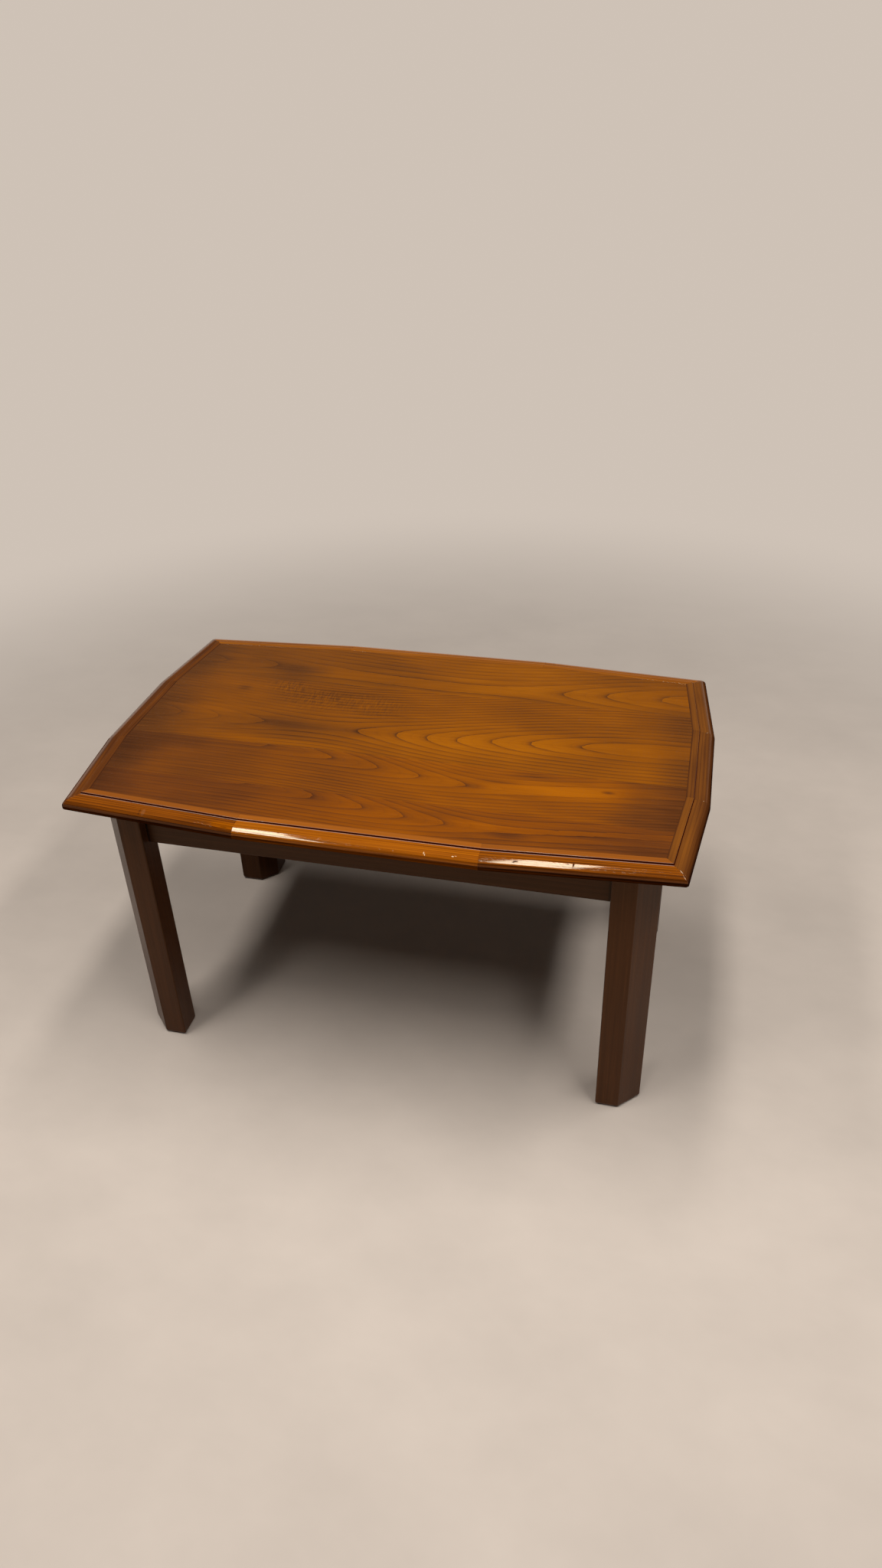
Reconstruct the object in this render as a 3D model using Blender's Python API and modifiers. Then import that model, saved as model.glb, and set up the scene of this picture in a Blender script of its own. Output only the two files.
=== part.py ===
"""Coffee table: a bowed, twelve-sided top with a moulded rim, on four six-sided legs and four aprons.

Metres, +Z up. The origin is on the floor under the middle of the top. +X runs along the table, and the
front of the table faces -Y. Every piece is a separate object, as it would lie on a bench.
"""

import math
from contextlib import contextmanager

import bmesh
import bpy

# Overall sizes
TABLE_LENGTH = 0.850
TABLE_WIDTH = 0.530
TABLE_HEIGHT = 0.450

# Clearances
FIT_GAP = 0.0003  # between faces that touch on the real table
CUT_MARGIN = 0.002  # how far a cutter stands out of the face that it cuts
WELD_DISTANCE = 0.00001

# Outline of the top: each side is a middle facet between two end facets that lean back from it
LONG_MIDDLE_FACET = 0.3175
SHORT_MIDDLE_FACET = 0.1725
LONG_END_LEAN = math.radians(3.9)
SHORT_END_LEAN = math.radians(6.6)

# Layers of the top, and the three glue lines of its face, as distances behind the middle of the table
CORE_THICKNESS = 0.015
VENEER_THICKNESS = 0.0012
FRONT_GLUE_LINE = -0.1650
MIDDLE_GLUE_LINE = -0.0655
BACK_GLUE_LINE = 0.1200

# Rim moulding, from the field outwards: flat band, step down, ledge, round-over, upright edge
RIM_BAND = 0.010
RIM_STEP = 0.0025
RIM_LEDGE = 0.007
RIM_ROUND = 0.015
RIM_UPRIGHT = 0.002
RIM_FOOT_RADIUS = 0.003
ROUND_OVER_FACETS = 8
FOOT_FACETS = 3

# Tongue on the edge of the core, in a groove of the rim
TONGUE_LENGTH = 0.006
TONGUE_THICKNESS = 0.005

# Legs: square posts with the outer and the inner corner planed off
LEG_SIDE = 0.060
LEG_OUTER_CHAMFER = 0.028
LEG_INSET_X = 0.0495
LEG_INSET_Y = 0.0445
LEG_ARRIS = 0.0015
LEG_FOOT_RADIUS = 0.004

# Aprons and the stub tenons on their ends
APRON_HEIGHT = 0.070
APRON_THICKNESS = 0.020
APRON_SETBACK = 0.015
APRON_BEHIND = 0.001  # from an apron's inner face to the start of the leg's inner chamfer
APRON_ARRIS = 0.001
TENON_LENGTH = 0.008
TENON_SHOULDER = 0.004
TENON_END_SHOULDER = 0.010

# Bent steel plates across the inside corners
PLATE_THICKNESS = 0.002
PLATE_MARGIN = 0.010  # from the apron's edges to the plate's edges
PLATE_STANDOFF = 0.010  # from the leg's inner chamfer to the plate
FLANGE_LENGTH = 0.020
HOOK_DEPTH = 0.006

# Hanger bolts with their washers and wing nuts
BOLT_DIAMETER = 0.008
BOLT_IN_LEG = 0.032
BOLT_TIP = 0.006
BOLT_PAST_NUT = 0.008
BOLT_CHAMFER = 0.001
WASHER_DIAMETER = 0.020
WASHER_THICKNESS = 0.0016
NUT_DIAMETER = 0.014
NUT_TOP_DIAMETER = 0.011
NUT_HEIGHT = 0.008
EAR_DIAMETER = 0.012
EAR_REACH = 0.009  # from the nut's axis to the middle of an ear
EAR_THICKNESS = 0.0025

# Wooden buttons that hold the top down, and their screws
BUTTON_SPACING = 0.300  # between the two buttons of a long apron
BUTTON_LENGTH = 0.030
BUTTON_WIDTH = 0.025
BUTTON_HEIGHT = 0.016
BUTTON_TONGUE_LENGTH = 0.007
BUTTON_TONGUE_THICKNESS = 0.006
SCREW_DIAMETER = 0.004
SCREW_HEAD_DIAMETER = 0.008
SCREW_HEAD_HEIGHT = 0.0025
SCREW_TIP = 0.004
SCREW_IN_CORE = 0.008

ROUND_SIDES = 16
EDGE_FACETS = 3
SMOOTH_ANGLE = math.radians(35)
FLAT_ANGLE = math.radians(0.001)

# Worked out from the sizes above
TOP_THICKNESS = CORE_THICKNESS + 2 * (VENEER_THICKNESS + FIT_GAP)
UNDERSIDE = TABLE_HEIGHT - TOP_THICKNESS
FRAME_TOP = UNDERSIDE - FIT_GAP
CORE_MIDDLE = UNDERSIDE + TOP_THICKNESS / 2
CORE_BOTTOM = CORE_MIDDLE - CORE_THICKNESS / 2
RIM_OVERHANG = RIM_LEDGE + RIM_ROUND
RIM_WIDTH = RIM_OVERHANG + RIM_BAND
FIELD_INSET = RIM_WIDTH + FIT_GAP
LEG_X = TABLE_LENGTH / 2 - LEG_INSET_X - LEG_SIDE / 2
LEG_Y = TABLE_WIDTH / 2 - LEG_INSET_Y - LEG_SIDE / 2
LEG_INNER_CHAMFER = LEG_SIDE - APRON_SETBACK - APRON_THICKNESS - APRON_BEHIND
APRON_FACE = LEG_SIDE / 2 - APRON_SETBACK - APRON_THICKNESS  # inner face, outwards of the leg's middle
APRON_MIDDLE = APRON_FACE + APRON_THICKNESS / 2
APRON_LEVEL = FRAME_TOP - APRON_HEIGHT / 2
TENON_THICKNESS = APRON_THICKNESS - 2 * TENON_SHOULDER
TENON_HEIGHT = APRON_HEIGHT - 2 * TENON_END_SHOULDER
CHAMFER_FACE = (LEG_SIDE - LEG_INNER_CHAMFER) / math.sqrt(2)
WEB_DISTANCE = CHAMFER_FACE + PLATE_STANDOFF + PLATE_THICKNESS / 2
FLANGE_LINE = APRON_FACE - FIT_GAP - PLATE_THICKNESS / 2
FLANGE_START = -math.sqrt(2) * WEB_DISTANCE - FLANGE_LINE
KERF_LINE = FLANGE_START - FLANGE_LENGTH
WASHER_SEAT = PLATE_STANDOFF + PLATE_THICKNESS + FIT_GAP
NUT_SEAT = WASHER_SEAT + WASHER_THICKNESS + FIT_GAP
BOLT_END = NUT_SEAT + NUT_HEIGHT + BOLT_PAST_NUT
BUTTON_BOTTOM = FRAME_TOP - BUTTON_HEIGHT
BUTTON_TONGUE_LEVEL = BUTTON_BOTTOM + BUTTON_TONGUE_THICKNESS / 2
SCREW_LINE = -APRON_THICKNESS / 2 - FIT_GAP - BUTTON_LENGTH / 2  # from the middle of the apron
SCREW_TOP = CORE_BOTTOM + SCREW_IN_CORE

CORNERS = {"front_left": (-1, -1), "front_right": (1, -1), "back_right": (1, 1), "back_left": (-1, 1)}
SIDES = {  # turn of the side's frame, distance of the apron, half the clear length, button places
    "front": (math.pi, LEG_Y + APRON_MIDDLE, LEG_X - LEG_SIDE / 2, (-BUTTON_SPACING / 2, BUTTON_SPACING / 2)),
    "back": (0.0, LEG_Y + APRON_MIDDLE, LEG_X - LEG_SIDE / 2, (-BUTTON_SPACING / 2, BUTTON_SPACING / 2)),
    "right": (-math.pi / 2, LEG_X + APRON_MIDDLE, LEG_Y - LEG_SIDE / 2, (0.0,)),
    "left": (math.pi / 2, LEG_X + APRON_MIDDLE, LEG_Y - LEG_SIDE / 2, (0.0,)),
}


# Scene, materials and placing

def clear_scene():
    for obj in list(bpy.data.objects):
        bpy.data.objects.remove(obj, do_unlink=True)


def new_collection(name):
    collection = bpy.data.collections.new(name)
    bpy.context.scene.collection.children.link(collection)
    return collection


def finish(name, colour, roughness, metallic=0.0):
    material = bpy.data.materials.new(name)
    material.use_nodes = True
    shader = material.node_tree.nodes["Principled BSDF"]
    shader.inputs["Base Color"].default_value = (*colour, 1.0)
    shader.inputs["Roughness"].default_value = roughness
    shader.inputs["Metallic"].default_value = metallic
    return material


def add_object(collection, name, data, parent, location, turn):
    obj = bpy.data.objects.new(name, data)
    collection.objects.link(obj)
    obj.parent = parent
    obj.location = location
    obj.rotation_euler = turn
    return obj


def add_part(name, mesh, material, parent=None, location=(0, 0, 0), turn=(0, 0, 0)):
    if not mesh.materials:
        mesh.materials.append(material)
    return add_object(PARTS, name, mesh, parent, location, turn)


def add_frame(name, parent=None, location=(0, 0, 0), turn=(0, 0, 0)):
    """An empty that carries the pieces of one corner, side or bolt."""
    return add_object(PARTS, name, None, parent, location, turn)


def add_tool(target, operation, mesh, parent=None, location=(0, 0, 0), turn=(0, 0, 0)):
    """A hidden body that is cut from a part, or joined to it."""
    name = f"{target.name}_{mesh.name}"
    tool = add_object(CUTTERS, name, mesh, parent, location, turn)
    tool.hide_render = True
    tool.display_type = "WIRE"
    modifier = target.modifiers.new(name, "BOOLEAN")
    modifier.operation = operation
    modifier.object = tool
    return tool


# Meshes

@contextmanager
def editing(mesh):
    """Opens a mesh for editing, then writes it back with its faces turned outwards."""
    cage = bmesh.new()
    cage.from_mesh(mesh)
    yield cage
    bmesh.ops.recalc_face_normals(cage, faces=cage.faces)
    cage.to_mesh(mesh)
    cage.free()
    mesh.shade_smooth()
    mesh.set_sharp_from_angle(angle=SMOOTH_ANGLE)


def box_mesh(name, size):
    mesh = bpy.data.meshes.new(name)
    with editing(mesh) as cage:
        bmesh.ops.create_cube(cage, size=1.0)
        bmesh.ops.scale(cage, vec=size, verts=cage.verts)
    return mesh


def outline_mesh(name, points, thickness):
    """A flat outline with thickness, centred on its own plane."""
    curve = bpy.data.curves.new(name, "CURVE")
    curve.dimensions = "2D"
    curve.fill_mode = "BOTH"
    curve.extrude = thickness / 2
    spline = curve.splines.new("POLY")
    spline.points.add(len(points) - 1)
    for point, (x, y) in zip(spline.points, points):
        point.co = (x, y, 0, 1)
    spline.use_cyclic_u = True
    drawn = bpy.data.objects.new(name, curve)
    bpy.context.scene.collection.objects.link(drawn)
    graph = bpy.context.evaluated_depsgraph_get()
    mesh = bpy.data.meshes.new_from_object(drawn.evaluated_get(graph))
    mesh.name = name
    bpy.data.objects.remove(drawn)
    with editing(mesh) as cage:
        bmesh.ops.remove_doubles(cage, verts=cage.verts, dist=WELD_DISTANCE)
        bmesh.ops.dissolve_limit(cage, angle_limit=FLAT_ANGLE, verts=cage.verts, edges=cage.edges)
    return mesh


def saw_off(mesh, point, direction):
    """Cuts off what lies past a plane, in its direction, and closes the cut."""
    with editing(mesh) as cage:
        everything = list(cage.verts) + list(cage.edges) + list(cage.faces)
        bmesh.ops.bisect_plane(cage, geom=everything, plane_co=point, plane_no=direction, clear_outer=True)
        open_edges = [edge for edge in cage.edges if edge.is_boundary]
        bmesh.ops.holes_fill(cage, edges=open_edges, sides=0)


def profile_mesh(name, points, closed=False):
    """The edge of a turned piece, as (radius, height) points down its outer side."""
    mesh = bpy.data.meshes.new(name)
    edges = [(i, i + 1) for i in range(len(points) - 1)]
    if closed:
        edges.append((len(points) - 1, 0))
    mesh.from_pydata([(radius, 0, height) for radius, height in points], edges, [])
    return mesh


def turn_round(obj):
    screw = obj.modifiers.new("Turned", "SCREW")
    screw.steps = ROUND_SIDES
    screw.render_steps = ROUND_SIDES
    screw.use_merge_vertices = True
    screw.merge_threshold = WELD_DISTANCE


def cylinder_mesh(name, diameter, bottom, top):
    mesh = bpy.data.meshes.new(name)
    with editing(mesh) as cage:
        bmesh.ops.create_cone(
            cage,
            cap_ends=True,
            segments=ROUND_SIDES,
            radius1=diameter / 2,
            radius2=diameter / 2,
            depth=top - bottom,
        )
        bmesh.ops.translate(cage, vec=(0, 0, (top + bottom) / 2), verts=cage.verts)
    return mesh


def round_edges(obj, mesh, radius_of):
    """Rounds a part's edges, each by the radius that radius_of gives for its two ends."""
    with editing(mesh) as cage:
        weight = cage.edges.layers.float.new("bevel_weight_edge")
        radii = {edge: radius_of(*(vert.co for vert in edge.verts)) for edge in cage.edges}
        largest = max(radii.values())
        for edge, radius in radii.items():
            edge[weight] = radius / largest
    bevel = obj.modifiers.new("Rounded edges", "BEVEL")
    bevel.limit_method = "WEIGHT"
    bevel.width = largest
    bevel.segments = EDGE_FACETS


# Top

def facets():
    """Each facet of the top's outline, anticlockwise from the front-left corner: name, direction, point."""
    sides = (
        ("front", ("left", "middle", "right"), 0, TABLE_WIDTH / 2, LONG_MIDDLE_FACET / 2, LONG_END_LEAN),
        ("right", ("front", "middle", "back"), 1, TABLE_LENGTH / 2, SHORT_MIDDLE_FACET / 2, SHORT_END_LEAN),
        ("back", ("right", "middle", "left"), 2, TABLE_WIDTH / 2, LONG_MIDDLE_FACET / 2, LONG_END_LEAN),
        ("left", ("back", "middle", "front"), 3, TABLE_LENGTH / 2, SHORT_MIDDLE_FACET / 2, SHORT_END_LEAN),
    )
    found = []
    for side, places, quarter, reach, joint, lean in sides:
        out = (quarter - 1) * math.pi / 2
        for place, along in zip(places, (-1, 0, 1)):
            x = reach * math.cos(out) - along * joint * math.sin(out)
            y = reach * math.sin(out) + along * joint * math.cos(out)
            found.append((f"{side}_{place}", out + along * lean, (x, y)))
    return found


def outline(inset):
    """The corners of the top's outline moved in by a distance. Corner i is where facet i starts."""
    lines = []
    for _, direction, (x, y) in facets():
        nx, ny = math.cos(direction), math.sin(direction)
        lines.append((nx, ny, nx * x + ny * y - inset))
    corners = []
    for (ax, ay, a), (bx, by, b) in zip([lines[-1]] + lines[:-1], lines):
        area = ax * by - ay * bx
        corners.append(((a * by - b * ay) / area, (ax * b - bx * a) / area))
    return corners


def rim_section():
    """Section of the rim: distance in from its outermost line, height above the underside."""
    ledge = TOP_THICKNESS - RIM_STEP
    drop = ledge - RIM_UPRIGHT - RIM_FOOT_RADIUS
    groove_half = TONGUE_THICKNESS / 2 + FIT_GAP
    groove_end = FIELD_INSET - TONGUE_LENGTH - FIT_GAP
    middle = TOP_THICKNESS / 2
    points = [(RIM_WIDTH, TOP_THICKNESS), (RIM_OVERHANG, TOP_THICKNESS), (RIM_OVERHANG, ledge)]
    for i in range(ROUND_OVER_FACETS + 1):
        angle = i / ROUND_OVER_FACETS * math.pi / 2
        points.append((RIM_ROUND * (1 - math.sin(angle)), ledge - drop * (1 - math.cos(angle))))
    for i in range(FOOT_FACETS + 1):
        angle = i / FOOT_FACETS * math.pi / 2
        points.append((RIM_FOOT_RADIUS * (1 - math.cos(angle)), RIM_FOOT_RADIUS * (1 - math.sin(angle))))
    points += [(RIM_WIDTH, 0), (RIM_WIDTH, middle - groove_half), (groove_end, middle - groove_half)]
    points += [(groove_end, middle + groove_half), (RIM_WIDTH, middle + groove_half)]
    return points


def build_rim():
    """Twelve lengths of moulding, each sawn at both ends on the bisector of its corner."""
    section = rim_section()
    corners = outline(0)
    lines = facets()
    for i, (name, direction, _) in enumerate(lines):
        following = (i + 1) % len(lines)
        start, end = corners[i], corners[following]
        length = math.dist(start, end)
        mesh = outline_mesh(f"rim_{name}", section, length + CUT_MARGIN)
        turns = (direction - lines[i - 1][1], lines[following][1] - direction)
        for way, turn in zip((-1, 1), turns):
            slope = math.tan((turn % (2 * math.pi)) / 2)
            saw_off(mesh, (0, 0, way * (length - FIT_GAP) / 2), (slope, 0, way))
        place = ((start[0] + end[0]) / 2, (start[1] + end[1]) / 2, UNDERSIDE)
        add_part(f"rim_{name}", mesh, RIM_FINISH, None, place, (math.pi / 2, 0, direction + math.pi))


def build_field():
    """The four boards of the face, laid side by side on the core."""
    field = outline(FIELD_INSET)
    level = TABLE_HEIGHT - VENEER_THICKNESS / 2
    boards = {
        "back": (BACK_GLUE_LINE, None),
        "middle_back": (MIDDLE_GLUE_LINE, BACK_GLUE_LINE),
        "middle_front": (FRONT_GLUE_LINE, MIDDLE_GLUE_LINE),
        "front": (None, FRONT_GLUE_LINE),
    }
    for board, (near, far) in boards.items():
        mesh = outline_mesh(f"face_veneer_{board}", field, VENEER_THICKNESS)
        if near is not None:
            saw_off(mesh, (0, near + FIT_GAP / 2, 0), (0, -1, 0))
        if far is not None:
            saw_off(mesh, (0, far - FIT_GAP / 2, 0), (0, 1, 0))
        add_part(f"face_veneer_{board}", mesh, FIELD_FINISH, None, (0, 0, level))


def build_panel():
    """The core with its tongue, and the sheet that balances it underneath."""
    core = add_part(
        "top_core",
        outline_mesh("core", outline(FIELD_INSET), CORE_THICKNESS),
        CORE_FINISH,
        None,
        (0, 0, CORE_MIDDLE),
    )
    tongue = outline_mesh("tongue", outline(FIELD_INSET - TONGUE_LENGTH), TONGUE_THICKNESS)
    add_tool(core, "UNION", tongue, None, (0, 0, CORE_MIDDLE))
    backing = add_part(
        "backing_veneer",
        outline_mesh("backing", outline(FIELD_INSET), VENEER_THICKNESS),
        CORE_FINISH,
        None,
        (0, 0, UNDERSIDE + VENEER_THICKNESS / 2),
    )
    return core, backing


# Legs and corner hardware

def from_leg(u, v):
    """A point given along two sides of a leg, outwards from its middle, in the frame of its corner."""
    return ((u + v) / math.sqrt(2), (v - u) / math.sqrt(2))


def leg_radius(first, second):
    """Foot arris and upright arrises are rounded; the top end stays square."""
    if first.z < 0 and second.z < 0:
        return LEG_FOOT_RADIUS
    return 0.0 if first.z > 0 and second.z > 0 else LEG_ARRIS


def build_leg(corner, where, axis):
    half = LEG_SIDE / 2
    outer = half - LEG_OUTER_CHAMFER
    inner = LEG_INNER_CHAMFER - half
    post = ((half, outer), (outer, half), (-half, half), (-half, inner), (inner, -half), (half, -half))
    mesh = outline_mesh("leg", [from_leg(u, v) for u, v in post], FRAME_TOP)
    leg = add_part(f"leg_{where}", mesh, FRAME_FINISH, corner, (0, 0, FRAME_TOP / 2))
    round_edges(leg, mesh, leg_radius)
    depth = TENON_LENGTH + FIT_GAP + CUT_MARGIN
    size = (depth, TENON_THICKNESS + 2 * FIT_GAP, TENON_HEIGHT + 2 * FIT_GAP)
    x, y = from_leg(depth / 2 - CUT_MARGIN - half, APRON_MIDDLE)
    for way in (-1, 1):
        mortise = box_mesh("mortise", size)
        add_tool(leg, "DIFFERENCE", mortise, corner, (x, way * y, APRON_LEVEL), (0, 0, -way * math.pi / 4))
    hole = cylinder_mesh("bolt_hole", BOLT_DIAMETER + 2 * FIT_GAP, -BOLT_IN_LEG - FIT_GAP, CUT_MARGIN)
    add_tool(leg, "DIFFERENCE", hole, axis)


def build_plate(corner, where, axis):
    """A strip bent along the aprons' inner faces and across the corner, with a hook at each end."""
    half_run = [(KERF_LINE, APRON_FACE + HOOK_DEPTH), (KERF_LINE, FLANGE_LINE), (FLANGE_START, FLANGE_LINE)]
    run = half_run + [(v, u) for u, v in reversed(half_run)]
    height = APRON_HEIGHT - 2 * PLATE_MARGIN
    mesh = bpy.data.meshes.new("plate")
    with editing(mesh) as cage:
        verts = [cage.verts.new((*from_leg(u, v), -height / 2)) for u, v in run]
        edges = [cage.edges.new(pair) for pair in zip(verts, verts[1:])]
        wall = bmesh.ops.extrude_edge_only(cage, edges=edges)["geom"]
        raised = [item for item in wall if isinstance(item, bmesh.types.BMVert)]
        bmesh.ops.translate(cage, vec=(0, 0, height), verts=raised)
    plate = add_part(f"corner_plate_{where}", mesh, STEEL_FINISH, corner, (0, 0, APRON_LEVEL))
    sheet = plate.modifiers.new("Sheet", "SOLIDIFY")
    sheet.thickness = PLATE_THICKNESS
    sheet.offset = 0.0
    sheet.use_even_offset = True
    far_side = PLATE_STANDOFF + PLATE_THICKNESS + CUT_MARGIN
    hole = cylinder_mesh("hole", BOLT_DIAMETER + 2 * FIT_GAP, PLATE_STANDOFF - CUT_MARGIN, far_side)
    add_tool(plate, "DIFFERENCE", hole, axis)


def build_bolt(where, axis):
    radius = BOLT_DIAMETER / 2
    points = [
        (0, BOLT_END),
        (radius - BOLT_CHAMFER, BOLT_END),
        (radius, BOLT_END - BOLT_CHAMFER),
        (radius, BOLT_TIP - BOLT_IN_LEG),
        (0, -BOLT_IN_LEG),
    ]
    turn_round(add_part(f"hanger_bolt_{where}", profile_mesh("bolt", points), STEEL_FINISH, axis))


def build_washer(where, axis):
    hole = BOLT_DIAMETER / 2 + FIT_GAP
    edge = WASHER_DIAMETER / 2
    points = [(edge, WASHER_THICKNESS), (edge, 0), (hole, 0), (hole, WASHER_THICKNESS)]
    mesh = profile_mesh("washer", points, closed=True)
    turn_round(add_part(f"washer_{where}", mesh, STEEL_FINISH, axis, (0, 0, WASHER_SEAT)))


def build_nut(where, axis):
    """A tapered boss with two round ears, bored for the bolt."""
    points = [(0, NUT_HEIGHT), (NUT_TOP_DIAMETER / 2, NUT_HEIGHT), (NUT_DIAMETER / 2, 0), (0, 0)]
    nut = add_part(f"wing_nut_{where}", profile_mesh("nut", points), STEEL_FINISH, axis, (0, 0, NUT_SEAT))
    turn_round(nut)
    ear = cylinder_mesh("ear", EAR_DIAMETER, -EAR_THICKNESS / 2, EAR_THICKNESS / 2)
    for way in (-1, 1):
        place = (way * EAR_REACH, 0, NUT_SEAT + NUT_HEIGHT)
        add_tool(nut, "UNION", ear, axis, place, (math.pi / 2, 0, 0))
    top = NUT_SEAT + NUT_HEIGHT + EAR_DIAMETER
    bore = cylinder_mesh("bore", BOLT_DIAMETER + 2 * FIT_GAP, NUT_SEAT - CUT_MARGIN, top)
    add_tool(nut, "DIFFERENCE", bore, axis)


def build_corner(where, x_way, y_way):
    """One leg with the plate, bolt, washer and nut that hold it. The corner's frame looks outwards."""
    outwards = math.atan2(y_way, x_way)
    corner = add_frame(f"corner_{where}", None, (x_way * LEG_X, y_way * LEG_Y, 0), (0, 0, outwards))
    axis = add_frame(f"bolt_axis_{where}", corner, (-CHAMFER_FACE, 0, APRON_LEVEL), (0, -math.pi / 2, 0))
    build_leg(corner, where, axis)
    build_plate(corner, where, axis)
    build_bolt(where, axis)
    build_washer(where, axis)
    build_nut(where, axis)


# Aprons and the buttons that hold the top down

def apron_radius(first, second):
    """The two long lower arrises are eased."""
    is_long = first.y == second.y and first.z == second.z
    return APRON_ARRIS if is_long and first.z < 0 else 0.0


def build_apron(name, side, clear_half, places):
    """A rail with a stub tenon on each end. Its frame has +Y outwards and its origin in its middle."""
    half_length = clear_half - FIT_GAP
    mesh = box_mesh("apron", (2 * half_length, APRON_THICKNESS, APRON_HEIGHT))
    apron = add_part(f"apron_{name}", mesh, FRAME_FINISH, side)
    round_edges(apron, mesh, apron_radius)
    tenons = box_mesh("tenons", (2 * (half_length + TENON_LENGTH), TENON_THICKNESS, TENON_HEIGHT))
    add_tool(apron, "UNION", tenons, side)
    inner_face = -APRON_THICKNESS / 2
    kerf_depth = HOOK_DEPTH + FIT_GAP + CUT_MARGIN
    kerf = (PLATE_THICKNESS + 2 * FIT_GAP, kerf_depth, APRON_HEIGHT + 2 * CUT_MARGIN)
    kerf_place = clear_half + LEG_SIDE / 2 + KERF_LINE
    for way in (-1, 1):
        place = (way * kerf_place, inner_face - CUT_MARGIN + kerf_depth / 2, 0)
        add_tool(apron, "DIFFERENCE", box_mesh("kerf", kerf), side, place)
    slot_depth = BUTTON_TONGUE_LENGTH + FIT_GAP + CUT_MARGIN
    slot = (BUTTON_WIDTH + 2 * FIT_GAP, slot_depth, BUTTON_TONGUE_THICKNESS + 2 * FIT_GAP)
    slot_level = BUTTON_TONGUE_LEVEL - APRON_LEVEL
    for along in places:
        place = (along, inner_face - CUT_MARGIN + slot_depth / 2, slot_level)
        add_tool(apron, "DIFFERENCE", box_mesh("slot", slot), side, place)


def countersunk(top, shank_top, clearance, bottom):
    """Section of a screw, or of the room for it: shank above, countersunk head below."""
    shank = SCREW_DIAMETER / 2 + clearance
    head = SCREW_HEAD_DIAMETER / 2 + clearance
    cone = [(shank, SCREW_HEAD_HEIGHT + clearance), (head, clearance)]
    return [(0, top), (shank, shank_top)] + cone + [(head, bottom), (0, bottom)]


def build_button(name, side, along, panel):
    """A block with a tongue in the apron's slot, screwed up into the top."""
    inner_face = -APRON_THICKNESS / 2
    tongue_end = inner_face + BUTTON_TONGUE_LENGTH
    shoulder = inner_face - FIT_GAP
    block_end = shoulder - BUTTON_LENGTH
    shape = [
        (block_end, 0),
        (tongue_end, 0),
        (tongue_end, BUTTON_TONGUE_THICKNESS),
        (shoulder, BUTTON_TONGUE_THICKNESS),
        (shoulder, BUTTON_HEIGHT),
        (block_end, BUTTON_HEIGHT),
    ]
    level = BUTTON_BOTTOM - APRON_LEVEL
    mesh = outline_mesh("button", shape, BUTTON_WIDTH)
    upright = (math.pi / 2, 0, math.pi / 2)
    button = add_part(f"top_button_{name}", mesh, BUTTON_FINISH, side, (along, 0, level), upright)
    seat = (along, SCREW_LINE, level)
    past = BUTTON_HEIGHT + CUT_MARGIN
    room = profile_mesh("countersink", countersunk(past, past, FIT_GAP, -CUT_MARGIN))
    turn_round(add_tool(button, "DIFFERENCE", room, side, seat))
    length = SCREW_TOP - BUTTON_BOTTOM
    screw = profile_mesh("screw", countersunk(length, length - SCREW_TIP, 0.0, 0.0))
    turn_round(add_part(f"button_screw_{name}", screw, STEEL_FINISH, side, seat))
    pilot = cylinder_mesh("pilot", SCREW_DIAMETER + 2 * FIT_GAP, BUTTON_HEIGHT - CUT_MARGIN, length + FIT_GAP)
    for sheet in panel:
        add_tool(sheet, "DIFFERENCE", pilot, side, seat)


def build_side(name, panel):
    turn, distance, clear_half, places = SIDES[name]
    place = (-distance * math.sin(turn), distance * math.cos(turn), APRON_LEVEL)
    side = add_frame(f"side_{name}", None, place, (0, 0, turn))
    build_apron(name, side, clear_half, places)
    for along in places:
        end = "" if along == 0 else ("_left" if along * math.cos(turn) < 0 else "_right")
        build_button(name + end, side, along, panel)


clear_scene()
PARTS = new_collection("coffee_table")
CUTTERS = new_collection("coffee_table_cutters")
FIELD_FINISH = finish("lacquered_field", (0.235, 0.075, 0.012), 0.30)
RIM_FINISH = finish("lacquered_rim", (0.255, 0.085, 0.012), 0.28)
FRAME_FINISH = finish("stained_frame", (0.045, 0.017, 0.009), 0.38)
CORE_FINISH = finish("panel_core", (0.300, 0.190, 0.100), 0.75)
BUTTON_FINISH = finish("button_wood", (0.280, 0.160, 0.070), 0.60)
STEEL_FINISH = finish("zinc_steel", (0.550, 0.540, 0.500), 0.35, 1.0)

build_rim()
build_field()
top_panel = build_panel()
for place_name, (x_side, y_side) in CORNERS.items():
    build_corner(place_name, x_side, y_side)
for side_name in SIDES:
    build_side(side_name, top_panel)
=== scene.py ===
import math
from collections import namedtuple

import bmesh
import bpy
from mathutils import Matrix, Vector


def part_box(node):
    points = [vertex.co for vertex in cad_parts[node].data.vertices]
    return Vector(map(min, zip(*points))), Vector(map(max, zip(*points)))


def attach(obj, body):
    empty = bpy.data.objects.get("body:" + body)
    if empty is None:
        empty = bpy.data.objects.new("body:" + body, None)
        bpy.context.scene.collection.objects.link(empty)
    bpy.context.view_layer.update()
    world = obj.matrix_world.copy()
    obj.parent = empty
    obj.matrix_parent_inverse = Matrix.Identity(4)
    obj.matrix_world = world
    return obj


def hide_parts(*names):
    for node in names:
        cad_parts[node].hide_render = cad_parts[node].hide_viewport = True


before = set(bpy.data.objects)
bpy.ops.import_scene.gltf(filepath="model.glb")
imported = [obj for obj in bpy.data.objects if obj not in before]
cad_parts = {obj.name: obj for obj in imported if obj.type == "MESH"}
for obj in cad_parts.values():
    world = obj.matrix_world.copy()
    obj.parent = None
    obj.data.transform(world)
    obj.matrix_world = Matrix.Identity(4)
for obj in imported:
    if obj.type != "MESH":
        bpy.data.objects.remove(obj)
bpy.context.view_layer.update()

# The looks of a coffee table: lacquered top with a moulded rim, on dark stained legs and aprons.
# Metres, +Z up, the front faces -Y. Grain, figures, patches and marks of wear are in millimetres.

MM = 1000.0
SCENE = bpy.context.scene
ALONG_X, ALONG_Y, ALONG_Z = range(3)

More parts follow.
